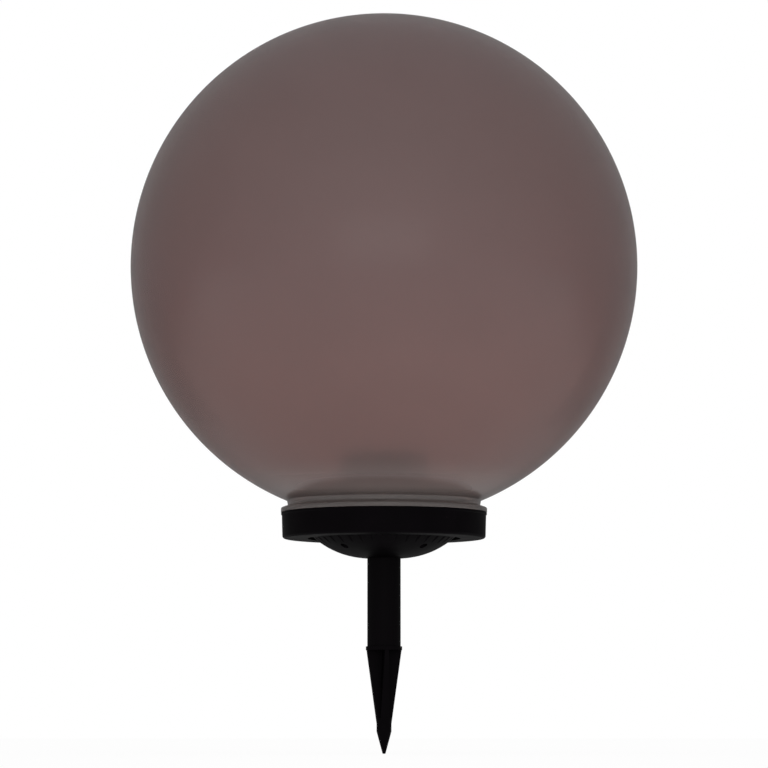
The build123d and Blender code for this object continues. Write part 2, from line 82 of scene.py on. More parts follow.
class Sheet:
    """A node sheet, with short ways to add nodes and to join them."""

    def __init__(self, tree: bpy.types.NodeTree) -> None:
        """Starts an empty sheet.

        Args:
            tree: the node tree, which is cleared.
        """
        self.tree = tree
        self.tree.nodes.clear()

    def join(self, socket: Socket, value: object) -> None:
        """Fills a socket.

        Args:
            socket: the socket.
            value: a plain value, a colour, or another node's output.
        """
        if isinstance(value, Socket):
            self.tree.links.new(value, socket)
        elif socket.type == "RGBA":
            socket.default_value = (*value, 1.0)
        else:
            socket.default_value = value

    def node(self, kind: str, settings: dict | None = None, **inputs: object) -> bpy.types.Node:
        """Adds a node and fills its sockets.

        Args:
            kind: the node's type.
            settings: properties of the node itself.
            inputs: sockets by name, each a plain value, a colour, or another node's output.

        Returns:
            The new node.
        """
        node = self.tree.nodes.new(kind)
        for name, value in (settings or {}).items():
            setattr(node, name, value)
        for name, value in inputs.items():
            self.join(node.inputs[name.replace("_", " ")], value)
        return node

    def maths(self, operation: str, first: Socket, second: Socket | float, clamp: bool = False) -> Socket:
        """Works one number out of two.

        Args:
            operation: what is done with them.
            first: the first number.
            second: the second number.
            clamp: whether the result is kept between 0 and 1.

        Returns:
            The result.
        """
        node = self.node("ShaderNodeMath", {"operation": operation, "use_clamp": clamp})
        self.join(node.inputs[0], first)
        self.join(node.inputs[1], second)
        return node.outputs["Value"]

    def remap(
        self, value: Socket, start: float, end: float, low: float, high: float, kind: str = "LINEAR"
    ) -> Socket:
        """Spreads one range of a value over another.

        Args:
            value: the value.
            start: where its range starts.
            end: where its range ends.
            low: what the start becomes.
            high: what the end becomes.
            kind: how the values between are spread.

        Returns:
            The spread value.
        """
        settings = {"interpolation_type": kind}
        ends = {"From_Min": start, "From_Max": end, "To_Min": low, "To_Max": high}
        return self.node("ShaderNodeMapRange", settings, Value=value, **ends).outputs["Result"]

    def mix_colours(
        self, share: Socket | float, first: Socket | Colour, second: Socket | Colour, kind: str = "MIX"
    ) -> Socket:
        """Mixes two colours.

        Args:
            share: how much of the second is used.
            first: the first colour.
            second: the second colour.
            kind: the way in which they are mixed.

        Returns:
            The mixed colour.
        """
        mix = self.node("ShaderNodeMix", {"data_type": "RGBA", "blend_type": kind})
        for index, value in zip(MIX_SOCKETS, (share, first, second)):
            self.join(mix.inputs[index], value)
        return mix.outputs[MIX_RESULT]

    def mix_shaders(self, share: Socket, first: bpy.types.Node, second: bpy.types.Node) -> bpy.types.Node:
        """Mixes two shaders.

        Args:
            share: how much of the second is used.
            first: the first shader.
            second: the second shader.

        Returns:
            The mixing node.
        """
        mix = self.node("ShaderNodeMixShader")
        for socket, value in zip(mix.inputs, (share, first.outputs[0], second.outputs[0])):
            self.join(socket, value)
        return mix


class Surface(Sheet):
    """A material's node sheet with one main shader, and the few patterns that the finishes share."""

    def __init__(self, name: str) -> None:
        """Starts an empty sheet.

        Args:
            name: the material's name.
        """
        self.material = bpy.data.materials.new(name)
        self.material.use_nodes = True
        super().__init__(self.material.node_tree)
        self.output = self.node("ShaderNodeOutputMaterial")
        self.shader = self.node("ShaderNodeBsdfPrincipled")
        self.join(self.output.inputs["Surface"], self.shader.outputs["BSDF"])
        self.place = self.node("ShaderNodeTexCoord").outputs["Object"]

    def set(self, **values: Socket | float | Colour) -> None:
        """Fills the main shader's own sockets.

        Args:
            values: socket names in lower case with underscores, each with a number, a colour or a pattern.
        """
        for name, value in values.items():
            self.join(self.shader.inputs[name.replace("_", " ").title().replace("Ior", "IOR")], value)

    def speckle(self, size: float, detail: float = 2.0, stretch: Point | None = None) -> Socket:
        """Noise whose features have a real size.

        Args:
            size: size of one feature, in metres.
            detail: how many finer layers are added.
            stretch: how much each axis is drawn out.

        Returns:
            The noise's value, from 0 to 1.
        """
        place = self.place
        if stretch is not None:
            scale = tuple(1 / s for s in stretch)
            place = self.node("ShaderNodeMapping", Vector=self.place, Scale=scale).outputs["Vector"]
        shape = {"Scale": 1 / size, "Detail": detail, "Roughness": NOISE_ROUGHNESS}
        return self.node("ShaderNodeTexNoise", Vector=place, **shape).outputs["Fac"]

    def span(self, value: Socket, low: float, high: float) -> Socket:
        """Spreads the middle of a pattern over a range.

        Args:
            value: the pattern.
            low: what its dark parts become.
            high: what its light parts become.

        Returns:
            The spread value.
        """
        return self.remap(value, NOISE_LOW, NOISE_HIGH, low, high)

    def tint(self, value: Socket, dark: Colour, light: Colour) -> Socket:
        """Colours a pattern.

        Args:
            value: the pattern.
            dark: colour of its dark parts.
            light: colour of its light parts.

        Returns:
            The colour.
        """
        ramp = self.node("ShaderNodeValToRGB", Fac=value)
        ends = ((NOISE_LOW, dark), (NOISE_HIGH, light))
        for stop, (position, colour) in zip(ramp.color_ramp.elements, ends):
            stop.position = position
            stop.color = (*colour, 1.0)
        return ramp.outputs["Color"]

    def bump(self, height: Socket, depth: float) -> Socket:
        """Raises the surface by a pattern.

        Args:
            height: the pattern.
            depth: its real height, in metres.

        Returns:
            The raised surface's direction.
        """
        return self.node("ShaderNodeBump", Height=height, Distance=depth, Strength=1.0).outputs["Normal"]


# ---------------------------------------------------------------- finishes


def shade(colour: Colour, factor: float) -> Colour:
    """A colour made darker or lighter.

    Args:
        colour: the colour.
        factor: what it is multiplied by.

    Returns:
        The new colour.
    """
    return tuple(min(1.0, channel * factor) for channel in colour)


@dataclass(frozen=True)
class Finish:
    """What every finish has: its name, and a sheet that subclasses draw."""

    name: str

    def material(self) -> bpy.types.Material:
        """Makes the finish's material the first time that it is asked for.

        Returns:
            The material.
        """
        known = bpy.data.materials.get("finish_" + self.name)
        if known is not None:
            return known
        surface = Surface("finish_" + self.name)
        self.draw(surface)
        return surface.material

    def draw(self, surface: Surface) -> None:
        """Fills the sheet.

        Args:
            surface: the empty sheet.
        """
        raise NotImplementedError


@dataclass(frozen=True)
class MottledFinish(Finish):
    """A finish whose colour and roughness both follow one pattern.

    The colour runs between two shades of itself, and the roughness between a little less and a little more.
    """

    colour: Colour = WHITE
    roughness: float = 0.5
    shades: tuple[float, float] = (0.85, 1.15)
    unevenness: tuple[float, float] = (-0.06, 0.08)

    def mottle(self, surface: Surface, pattern: Socket) -> None:
        """Leads a pattern into the colour and the roughness.

        Args:
            surface: the sheet.
            pattern: the pattern.
        """
        dark, light = (shade(self.colour, factor) for factor in self.shades)
        smooth, rough = (self.roughness + step for step in self.unevenness)
        surface.set(base_color=surface.tint(pattern, dark, light))
        surface.set(roughness=surface.span(pattern, smooth, rough))


@dataclass(frozen=True)
class SmokedShell(Finish):
    """Blown plastic of the globe: tinted, and cloudy enough that what is behind it looks soft.

    The wall thickens where the globe turns into its neck, so its tint and its clearness change with height.
    The levels also hold painted light: the lighter, greyer, cloudier levels at the neck's shoulder are partly
    the thicker wall and partly painted light that lifts the shade the black base casts there, and the greyer
    levels at the top are a painted sheen of the light from above.
    Each level is a height in metres, a red, a green and a blue, and the clearness there.
    """

    levels_with_painted_light: tuple[tuple[float, float, float, float, float], ...] = (
        # Partly painted light: these two neck levels are lighter, greyer and cloudier, lifting the shade that
        # the black base casts on the neck, besides the thicker wall.
        (0.138, 0.420, 0.365, 0.350, 0.68),
        (0.149, 0.500, 0.405, 0.385, 0.55),
        (0.172, 0.485, 0.318, 0.298, 0.71),
        (0.260, 0.485, 0.325, 0.308, 0.71),
        (0.340, 0.451, 0.318, 0.309, 0.74),
        # Painted sheen: these two top levels are greyer, standing in for the light that falls on the globe's
        # top from above.
        (0.480, 0.450, 0.341, 0.333, 0.74),
        (0.600, 0.447, 0.348, 0.346, 0.74),
    )
    roughness: float = 0.22
    unevenness: float = 0.015
    index: float = 1.49
    cloud_size: float = 0.09
    cloud_shade: float = 0.97

    def level_ramp(self, surface: Surface) -> bpy.types.Node:
        """Lays the levels out over the height.

        Args:
            surface: the sheet.

        Returns:
            The ramp, with the tint and its painted light as its colour and the clearness as its alpha.
        """
        low, high = self.levels_with_painted_light[0][0], self.levels_with_painted_light[-1][0]
        height = surface.node("ShaderNodeSeparateXYZ", Vector=surface.place).outputs["Z"]
        ramp = surface.node("ShaderNodeValToRGB", Fac=surface.remap(height, low, high, 0.0, 1.0))
        stops = ramp.color_ramp.elements
        while len(stops) < len(self.levels_with_painted_light):
            stops.new(0.5)
        for stop, (z, red, green, blue, clear) in zip(stops, self.levels_with_painted_light):
            stop.position = (z - low) / (high - low)
            stop.color = (red, green, blue, clear)
        return ramp

    def draw(self, surface: Surface) -> None:
        """Fills the sheet with tinted, cloudy plastic.

        Args:
            surface: the empty sheet.
        """
        cloud = surface.speckle(self.cloud_size, detail=1.5)
        ramp = self.level_ramp(surface)
        faint = surface.tint(cloud, shade(WHITE, self.cloud_shade), WHITE)
        surface.set(
            ior=self.index,
            # The base colour carries the levels' painted light: a lift against the shade at the neck, and a
            # painted sheen at the top.
            base_color=surface.mix_colours(1.0, ramp.outputs["Color"], faint, "MULTIPLY"),
            transmission_weight=ramp.outputs["Alpha"],
            roughness=surface.span(cloud, self.roughness - self.unevenness, self.roughness + self.unevenness),
        )


@dataclass(frozen=True)
class MouldedPlastic(MottledFinish):
    """Injection-moulded plastic with a fine spark-eroded grain and faint handling marks."""

    colour: Colour = (0.0030, 0.0022, 0.0030)
    shades: tuple[float, float] = (0.85, 1.25)
    unevenness: tuple[float, float] = (-0.06, 0.05)
    gloss_level: float = 0.026
    wear_size: float = 0.03
    grain_size: float = 0.0009
    grain_depth: float = 0.00004

    def draw(self, surface: Surface) -> None:
        """Fills the sheet with grained plastic.

        Args:
            surface: the empty sheet.
        """
        grain = surface.speckle(self.grain_size, detail=3.0)
        self.mottle(surface, surface.speckle(self.wear_size, detail=4.0))
        surface.set(specular_ior_level=self.gloss_level, normal=surface.bump(grain, self.grain_depth))


@dataclass(frozen=True)
class DrawnTube(MottledFinish):
    """Extruded plastic with faint draw lines along its length."""

    colour: Colour = (0.0030, 0.0022, 0.0029)
    roughness: float = 0.46
    shades: tuple[float, float] = (0.9, 1.15)
    unevenness: tuple[float, float] = (-0.04, 0.05)
    gloss_level: float = 0.030
    line_width: float = 0.0008
    line_stretch: Point = (1, 1, 60)
    line_depth: float = 0.00002

    def draw(self, surface: Surface) -> None:
        """Fills the sheet with lengthwise draw lines.

        Args:
            surface: the empty sheet.
        """
        lines = surface.speckle(self.line_width, detail=2.0, stretch=self.line_stretch)
        self.mottle(surface, lines)
        surface.set(specular_ior_level=self.gloss_level, normal=surface.bump(lines, self.line_depth))


@dataclass(frozen=True)
class SoftRubber(MottledFinish):
    """Matt silicone, rubber or paper with a powdery grain."""

    colour: Colour = (0.03, 0.03, 0.032)
    roughness: float = 0.75
    gloss_level: float = 0.35
    powder_size: float = 0.0006
    powder_depth: float = 0.00003

    def draw(self, surface: Surface) -> None:
        """Fills the sheet with powdery rubber.

        Args:
            surface: the empty sheet.
        """
        powder = surface.speckle(self.powder_size, detail=3.0)
        self.mottle(surface, powder)
        surface.set(specular_ior_level=self.gloss_level, normal=surface.bump(powder, self.powder_depth))


@dataclass(frozen=True)
class PlatedSteel(MottledFinish):
    """Plated metal with fine turning lines."""

    colour: Colour = (0.56, 0.56, 0.57)
    roughness: float = 0.3
    shades: tuple[float, float] = (0.88, 1.05)
    unevenness: tuple[float, float] = (-0.08, 0.1)
    line_width: float = 0.0004
    line_stretch: Point = (8, 8, 1)
    line_depth: float = 0.00001

    def draw(self, surface: Surface) -> None:
        """Fills the sheet with turned, plated metal.

        Args:
            surface: the empty sheet.
        """
        lines = surface.speckle(self.line_width, detail=2.0, stretch=self.line_stretch)
        self.mottle(surface, lines)
        surface.set(metallic=1.0, normal=surface.bump(lines, self.line_depth))


@dataclass(frozen=True)
class SolderMask(Finish):
    """A circuit board's lacquer over its woven glass and its tracks."""

    colour: Colour = (0.012, 0.10, 0.035)
    roughness: float = 0.28
    gloss_level: float = 0.5
    track_lift: float = 1.7
    track_density: float = 260.0
    track_straying: float = 0.25
    track_edge: tuple[float, float] = (0.05, 0.09)
    weave_density: float = 1 / 0.022
    weave_straying: float = 0.5
    weave_depth: float = 0.00001

    def draw(self, surface: Surface) -> None:
        """Fills the sheet with lacquer over tracks and weave.

        Args:
            surface: the empty sheet.
        """
        tracks = surface.node(
            "ShaderNodeTexVoronoi",
            {"feature": "DISTANCE_TO_EDGE", "distance": "MANHATTAN"},
            Vector=surface.place,
            Scale=self.track_density,
            Randomness=self.track_straying,
        ).outputs["Distance"]
        copper = surface.remap(tracks, *self.track_edge, 1.0, 0.0)
        weave = surface.node(
            "ShaderNodeTexWave",
            Vector=surface.place,
            Scale=self.weave_density,
            Distortion=self.weave_straying,
        ).outputs["Fac"]
        surface.set(
            specular_ior_level=self.gloss_level,
            roughness=self.roughness,
            base_color=surface.mix_colours(copper, self.colour, shade(self.colour, self.track_lift)),
            normal=surface.bump(weave, self.weave_depth),
        )


@dataclass(frozen=True)
class Silicon(Finish):
    """Dark blue solar cells with their fine silver fingers."""

    colour: Colour = (0.006, 0.010, 0.035)
    roughness: float = 0.25
    gloss_level: float = 0.5
    grain_size: float = 0.006
    grain_lift: float = 1.8
    finger_colour: Colour = (0.30, 0.31, 0.33)
    finger_pitch: float = 0.0022
    finger_share: float = 0.05

    def draw(self, surface: Surface) -> None:
        """Fills the sheet with silicon and its fingers.

        Args:
            surface: the empty sheet.
        """
        along = surface.node("ShaderNodeSeparateXYZ", Vector=surface.place).outputs["Y"]
        step = surface.maths("PINGPONG", along, self.finger_pitch / 2)
        finger = surface.maths("LESS_THAN", step, self.finger_pitch * self.finger_share)
        grain = surface.speckle(self.grain_size, detail=1.0)
        silicon = surface.tint(grain, self.colour, shade(self.colour, self.grain_lift))
        surface.set(
            base_color=surface.mix_colours(finger, silicon, self.finger_colour),
            roughness=self.roughness,
            specular_ior_level=self.gloss_level,
        )


@dataclass(frozen=True)
class ClearPlastic(MottledFinish):
    """Clear resin or frosted clear plastic."""

    colour: Colour = (0.93, 0.94, 0.94)
    roughness: float = 0.04
    shades: tuple[float, float] = (0.97, 1.0)
    unevenness: tuple[float, float] = (0.0, 0.05)
    clearness: float = 1.0
    index: float = 1.5
    haze_size: float = 0.004

    def draw(self, surface: Surface) -> None:
        """Fills the sheet with clear plastic.

        Args:
            surface: the empty sheet.
        """
        self.mottle(surface, surface.speckle(self.haze_size, detail=2.0))
        surface.set(transmission_weight=self.clearness, ior=self.index)


@dataclass(frozen=True)
class GlossyWrap(MottledFinish):
    """Glossy coloured plastic or resin: shrink wrap, a lead's skin, or a light's package."""

    colour: Colour = (0.03, 0.12, 0.36)
    roughness: float = 0.3
    shades: tuple[float, float] = (0.85, 1.1)
    unevenness: tuple[float, float] = (-0.05, 0.1)
    crease_size: float = 0.003
    crease_depth: float = 0.00004

    def draw(self, surface: Surface) -> None:
        """Fills the sheet with glossy plastic and its small creases.

        Args:
            surface: the empty sheet.
        """
        crease = surface.speckle(self.crease_size, detail=3.0)
        self.mottle(surface, crease)
        surface.set(normal=surface.bump(crease, self.crease_depth))


SMOKED_GLOBE = SmokedShell("smoked_globe")
BLACK_MOULDING = MouldedPlastic("black_moulding")
SPIKE_MOULDING = MouldedPlastic("spike_moulding", grain_size=0.0014, roughness=0.46)
BLACK_TUBE = DrawnTube("black_tube")
BUTTON_RUBBER = SoftRubber("button_rubber", colour=(0.012, 0.012, 0.013), roughness=0.6)
GREY_SILICONE = SoftRubber("grey_silicone", colour=(0.05, 0.05, 0.055))
ZINC_STEEL = PlatedSteel("zinc_steel")
NICKEL = PlatedSteel("nickel", colour=(0.66, 0.62, 0.55), roughness=0.22)
GREEN_MASK = SolderMask("green_mask")
WHITE_MASK = SolderMask("white_mask", colour=(0.68, 0.68, 0.66), track_lift=0.93)
BLACK_LAMINATE = SolderMask("black_laminate", colour=(0.012, 0.012, 0.014))
BLACK_EPOXY = MouldedPlastic("black_epoxy", colour=(0.02, 0.02, 0.021), roughness=0.55, gloss_level=0.4)
SWITCH_BODY = MouldedPlastic("switch_body", colour=(0.035, 0.035, 0.036), roughness=0.4, gloss_level=0.5)
LIGHT_PACKAGE = GlossyWrap("light_package", colour=(0.78, 0.76, 0.68), roughness=0.25)
LENS_RESIN = GlossyWrap("lens_resin", colour=(0.80, 0.56, 0.09), roughness=0.15)
SOLDER = PlatedSteel("solder", colour=(0.60, 0.60, 0.61), roughness=0.36)
FIBRE_PAPER = SoftRubber("fibre_paper", colour=(0.70, 0.69, 0.64), roughness=0.8)
FROSTED_WINDOW = ClearPlastic("frosted_window", colour=(0.90, 0.89, 0.87), roughness=0.30, clearness=0.92)
CLEAR_RESIN = ClearPlastic("clear_resin")
SOLAR_SILICON = Silicon("solar_silicon")
CELL_WRAP = GlossyWrap("cell_wrap")
RED_LEAD = GlossyWrap("red_lead", colour=(0.45, 0.015, 0.012), roughness=0.4)
BLACK_LEAD = GlossyWrap("black_lead", colour=(0.012, 0.012, 0.012), roughness=0.4)

CAD_FINISHES: dict[str, Finish] = {
    "base_housing": BLACK_MOULDING,
    "dome_cover": BLACK_MOULDING,
    "ground_spike": SPIKE_MOULDING,
    "stake_tube": BLACK_TUBE,
    "module_cover": BLACK_MOULDING,
    "battery_tray": BLACK_MOULDING,
    "power_button": BUTTON_RUBBER,
    "globe_seal": GREY_SILICONE,
    "module_seal": GREY_SILICONE,
    "button_grommet": GREY_SILICONE,
    "dome_screws": ZINC_STEEL,
    "module_screws": ZINC_STEEL,
    "board_screws": ZINC_STEEL,
    "battery_contacts": NICKEL,
    "battery_spring": NICKEL,
    "controller_board": GREEN_MASK,
    "light_board": WHITE_MASK,
    "solar_board": BLACK_LAMINATE,
    "board_components": BLACK_EPOXY,
    "power_switch": SWITCH_BODY,
    "lights": LIGHT_PACKAGE,
    "light_window": FROSTED_WINDOW,
    "solar_cover": CLEAR_RESIN,
    "solar_cells": SOLAR_SILICON,
    "battery_cell": CELL_WRAP,
    "battery_lead_red": RED_LEAD,
    "light_lead_red": RED_LEAD,
    "solar_lead_red": RED_LEAD,
    "battery_lead_black": BLACK_LEAD,
    "light_lead_black": BLACK_LEAD,
    "solar_lead_black": BLACK_LEAD,
}


# ---------------------------------------------------------------- shapes

# Points of a turning that are closer than this are one point, in millimetres.
MERGE_GAP = 0.002


class Turning:
    """A turned piece: a profile drawn point by point in the XZ plane, and then spun about the Z axis."""

    def __init__(self, r: float, z: float) -> None:
        """Starts a profile.

        Args:
            r: radius of its first point, in millimetres.
            z: height of that point, in millimetres.
        """
        self.mesh = bmesh.new()
        self.first = self.last = self.mesh.verts.new((r * MM, 0, z * MM))

    def line(self, r: float, z: float) -> "Turning":
        """Draws a straight line to a point.

        Args:
            r: the point's radius, in millimetres.
            z: the point's height, in millimetres.

        Returns:
            The turning itself.
        """
        vert = self.mesh.verts.new((r * MM, 0, z * MM))
        self.mesh.edges.new((self.last, vert))
        self.last = vert
        return self

    def arc(self, centre_r: float, centre_z: float, angle: float, steps: int) -> "Turning":
        """Sweeps the last point round a centre.

        Args:
            centre_r: the centre's radius, in millimetres.
            centre_z: the centre's height, in millimetres.
            angle: how far, in degrees, clockwise as seen from the front when positive.
            steps: how many straight pieces the arc has.

        Returns:
            The turning itself.
        """
        swept = bmesh.ops.spin(
            self.mesh,
            geom=[self.last],
            cent=(centre_r * MM, 0, centre_z * MM),
            axis=(0, 1, 0),
            angle=math.radians(angle),
            steps=steps,
            use_merge=False,
        )
        self.last = swept["geom_last"][0]
        return self

    def close(self) -> "Turning":
        """Joins the last point to the first.

        Returns:
            The turning itself.
        """
        self.mesh.edges.new((self.last, self.first))
        return self

    def spin(self, facets: int) -> Mesh:
        """Spins the profile a full turn.

        Args:
            facets: how many facets go round.

        Returns:
            The turned mesh, with its seam and poles closed and its faces outwards.
        """
        bmesh.ops.spin(
            self.mesh,
            geom=self.mesh.verts[:] + self.mesh.edges[:],
            cent=(0, 0, 0),
            axis=UP,
            angle=FULL_TURN,
            steps=facets,
            use_merge=True,
        )
        bmesh.ops.remove_doubles(self.mesh, verts=self.mesh.verts, dist=MERGE_GAP * MM)
        bmesh.ops.recalc_face_normals(self.mesh, faces=self.mesh.faces)
        return self.mesh


def bar(mesh: Mesh, middle: Point, size: Point) -> None:
    """Adds a square-edged bar.

    Args:
        mesh: the mesh that it joins.
        middle: its middle, in millimetres.
        size: its length along each axis, in millimetres.
    """
    place = Matrix.Translation(Vector(middle) * MM) @ Matrix.Diagonal((*(Vector(size) * MM), 1.0))
    bmesh.ops.create_cube(mesh, size=1.0, matrix=place)


def move(mesh: Mesh, way: Point, verts: list[bmesh.types.BMVert] | None = None) -> None:
    """Moves a shape.

    Args:
        mesh: the mesh that it is in.
        way: how far, in millimetres.
        verts: the shape's points, or nothing for the whole mesh.
    """
    bmesh.ops.translate(mesh, verts=mesh.verts if verts is None else verts, vec=Vector(way) * MM)


def points_of(parts: list) -> list[bmesh.types.BMVert]:
    """Picks the points out of a list of points, edges and faces.

    Args:
        parts: the list.

    Returns:
        Its points.
    """
    return [part for part in parts if isinstance(part, bmesh.types.BMVert)]


def repeat_round(mesh: Mesh, count: int) -> None:
    """Repeats a shape evenly round the axis.

    Args:
        mesh: the shape, where the first one stands.
        count: how many there are in all.
    """
    bmesh.ops.spin(
        mesh,
        geom=mesh.verts[:] + mesh.edges[:] + mesh.faces[:],
        cent=(0, 0, 0),
        axis=UP,
        angle=FULL_TURN * (count - 1) / count,
        steps=count - 1,
        use_duplicate=True,
    )


def repeat_at(mesh: Mesh, spots: list[Point]) -> None:
    """Repeats a shape at each of a few places, and takes the first one away.

    Args:
        mesh: the shape, at the origin.
        spots: where it goes, in millimetres.
    """
    first = mesh.verts[:] + mesh.edges[:] + mesh.faces[:]
    for spot in spots:
        copy = bmesh.ops.duplicate(mesh, geom=first)["geom"]
        move(mesh, spot, points_of(copy))
    bmesh.ops.delete(mesh, geom=points_of(first), context="VERTS")


def finished(
    mesh: Mesh, name: str, finish: Finish, body: Body, smooth_angle: float = 35.0
) -> bpy.types.Object:
    """Turns a mesh into a shown piece.

    Args:
        mesh: the shape, with its place in it. It is freed.
        name: the piece's name.
        finish: what its surface looks like.
        body: the body that it moves with.
        smooth_angle: edges sharper than this stay sharp, in degrees.

    Returns:
        The new piece.
    """
    for edge in mesh.edges:
        if len(edge.link_faces) == 2:
            edge.smooth = edge.calc_face_angle() < math.radians(smooth_angle)
    for face in mesh.faces:
        face.smooth = True
    data = bpy.data.meshes.new(name)
    mesh.to_mesh(data)
    mesh.free()
    data.materials.append(finish.material())
    piece = bpy.data.objects.new(name, data)
    bpy.context.scene.collection.objects.link(piece)
    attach(piece, body.value)
    log.info("%s: %d faces, rides on %s", name, len(data.polygons), body.value)
    return piece


# ---------------------------------------------------------------- sub-assemblies


@dataclass
class GlobeShell:
    """The smoked globe, with its neck, its lip and its thread's ridges. Sizes are in millimetres."""

    radius: float = 250.0
    wall: float = 2.4
    centre_z: float = 374.0
    neck_radius: float = 94.5
    lip_radius: float = 101.2
    lip_low_z: float = 131.1
    lip_edge_z: float = 135.5
    lip_high_z: float = 137.7
    skirt_z: float = 110.5
    edge_break: float = 0.3
    neck_blend: float = 2.5
    lip_blend: float = 1.4
    thread_lead: float = 24.0
    thread_starts: int = 3
    ridge_start_z: float = 114.0
    ridge_span: float = 190.0
    ridge_crest: float = 96.7
    ridge_root_depth: float = 0.5
    ridge_root_half: float = 1.2
    ridge_crest_half: float = 0.9
    ridge_steps: int = 64
    facets: int = 240
    arc_steps: int = 110
    blend_steps: int = 4
    crevice_steps: int = 3

    def drop(self, radius: float, r: float) -> float:
        """Distance below a sphere's centre at which the sphere has a given radius.

        Args:
            radius: the sphere's radius.
            r: the radius about the axis.

        Returns:
            The distance.
        """
        return math.sqrt(radius**2 - r**2)

    def wall_mesh(self) -> Mesh:
        """Turns the blown wall as one closed profile.

        Returns:
            The wall.
        """
        blend_r = self.neck_radius + self.neck_blend
        blend_drop = self.drop(self.radius + self.neck_blend, blend_r)
        outer_turn = 180 - math.degrees(math.asin(blend_r / (self.radius + self.neck_blend)))
        shape = Turning(0, self.centre_z + self.radius)
        shape.arc(0, self.centre_z, outer_turn, self.arc_steps)
        shape.arc(blend_r, self.centre_z - blend_drop, outer_turn - 180, self.blend_steps)
        self.draw_lip(shape)
        self.draw_inside(shape)
        return shape.spin(self.facets)

    def draw_lip(self, shape: Turning) -> None:
        """Goes on down the neck's outside, and round the lip.

        Args:
            shape: the turning, drawn down to the neck.
        """
        lip_width = self.lip_radius - self.neck_radius
        slope = math.degrees(math.atan2(self.lip_high_z - self.lip_edge_z, lip_width))
        edge = self.lip_blend * math.tan(math.radians((90 - slope) / 2))
        rise = math.radians(slope)
        shape.line(self.neck_radius, self.lip_high_z + edge)
        shape.arc(self.neck_radius + self.lip_blend, self.lip_high_z + edge, slope - 90, self.crevice_steps)
        shape.line(self.lip_radius - edge * math.cos(rise), self.lip_edge_z + edge * math.sin(rise))
        shape.arc(self.lip_radius - self.lip_blend, self.lip_edge_z - edge, 90 - slope, self.blend_steps)
        shape.line(self.lip_radius, self.lip_low_z + self.edge_break)
        shape.line(self.lip_radius - self.edge_break, self.lip_low_z)
        shape.line(self.neck_radius, self.lip_low_z)

    def draw_inside(self, shape: Turning) -> None:
        """Goes on round the skirt's foot, and up the inside to the top.

        Args:
            shape: the turning, drawn down to the lip's underside.
        """
        inner = self.radius - self.wall
        neck_inner = self.neck_radius - self.wall
        inner_turn = 180 - math.degrees(math.asin(neck_inner / inner))
        shape.line(self.neck_radius, self.skirt_z + self.edge_break)
        shape.line(self.neck_radius - self.edge_break, self.skirt_z)
        shape.line(neck_inner + self.edge_break, self.skirt_z)
        shape.line(neck_inner, self.skirt_z + self.edge_break)
        shape.line(neck_inner, self.centre_z - self.drop(inner, neck_inner))
        shape.arc(0, self.centre_z, -inner_turn, self.arc_steps)

    def add_ridge(self, mesh: Mesh, start: float) -> None:
        """Adds one ridge of the thread.

        Args:
            mesh: the globe's mesh.
            start: where the ridge starts, in degrees.
        """
        root = self.neck_radius - self.ridge_root_depth
        turn = Matrix.Rotation(math.radians(start), 3, "Z")
        section = (
            (root, -self.ridge_root_half),
            (self.ridge_crest, -self.ridge_crest_half),
            (self.ridge_crest, self.ridge_crest_half),
            (root, self.ridge_root_half),
        )
        cap = mesh.faces.new(
            [mesh.verts.new(turn @ (Vector((r, 0, self.ridge_start_z + rise)) * MM)) for r, rise in section]
        )
        bmesh.ops.spin(
            mesh,
            geom=[cap],
            cent=(0, 0, 0),
            axis=UP,
            dvec=(0, 0, self.thread_lead * MM * self.ridge_span / 360 / self.ridge_steps),
            angle=math.radians(self.ridge_span),
            steps=self.ridge_steps,
            use_merge=False,
        )

    def build(self) -> None:
        """Makes the globe and puts it in place of the CAD nodes."""
        mesh = self.wall_mesh()
        for index in range(self.thread_starts):
            self.add_ridge(mesh, 360 / self.thread_starts * index)
        bmesh.ops.recalc_face_normals(mesh, faces=mesh.faces)
        piece = finished(mesh, "globe_shell", SMOKED_GLOBE, Body.GLOBE, smooth_angle=50)
        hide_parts("globe", "globe_neck")


@dataclass
class LightTrim:
    """The domed resin lenses of the lights, and the solder on their board. Sizes are in millimetres."""

    count: int = 12
    circle: float = 62.0
    lens_radius: float = 1.95
    lens_height: float = 0.7
    lens_foot_z: float = 156.4
    board_top_z: float = 155.1
    solder_spots: tuple[tuple[float, float], ...] = ((-52.0, 16.0), (-52.0, 24.0))
    solder_radius: float = 1.6
    solder_height: float = 0.9
    dome_steps: int = 6
    facets: int = 24

    def dome(self, radius: float, height: float, foot_z: float) -> Mesh:
        """A shallow dome on the axis.

        Args:
            radius: its foot's radius.
            height: how far it rises.
            foot_z: height of its foot.

        Returns:
            The dome, closed underneath.
        """
        curve = (radius**2 + height**2) / (2 * height)
        shape = Turning(0, foot_z + height)
        shape.arc(0, foot_z + height - curve, math.degrees(math.asin(radius / curve)), self.dome_steps)
        return shape.line(0, foot_z).spin(self.facets)

    def build(self) -> None:
        """Makes the lenses and the solder."""
        lenses = self.dome(self.lens_radius, self.lens_height, self.lens_foot_z)
        move(lenses, (self.circle, 0, 0))
        repeat_round(lenses, self.count)
        finished(lenses, "light_lenses", LENS_RESIN, Body.BASE)
        solder = self.dome(self.solder_radius, self.solder_height, self.board_top_z)
        repeat_at(solder, [(x, y, 0) for x, y in self.solder_spots])
        finished(solder, "light_board_solder", SOLDER, Body.BASE)


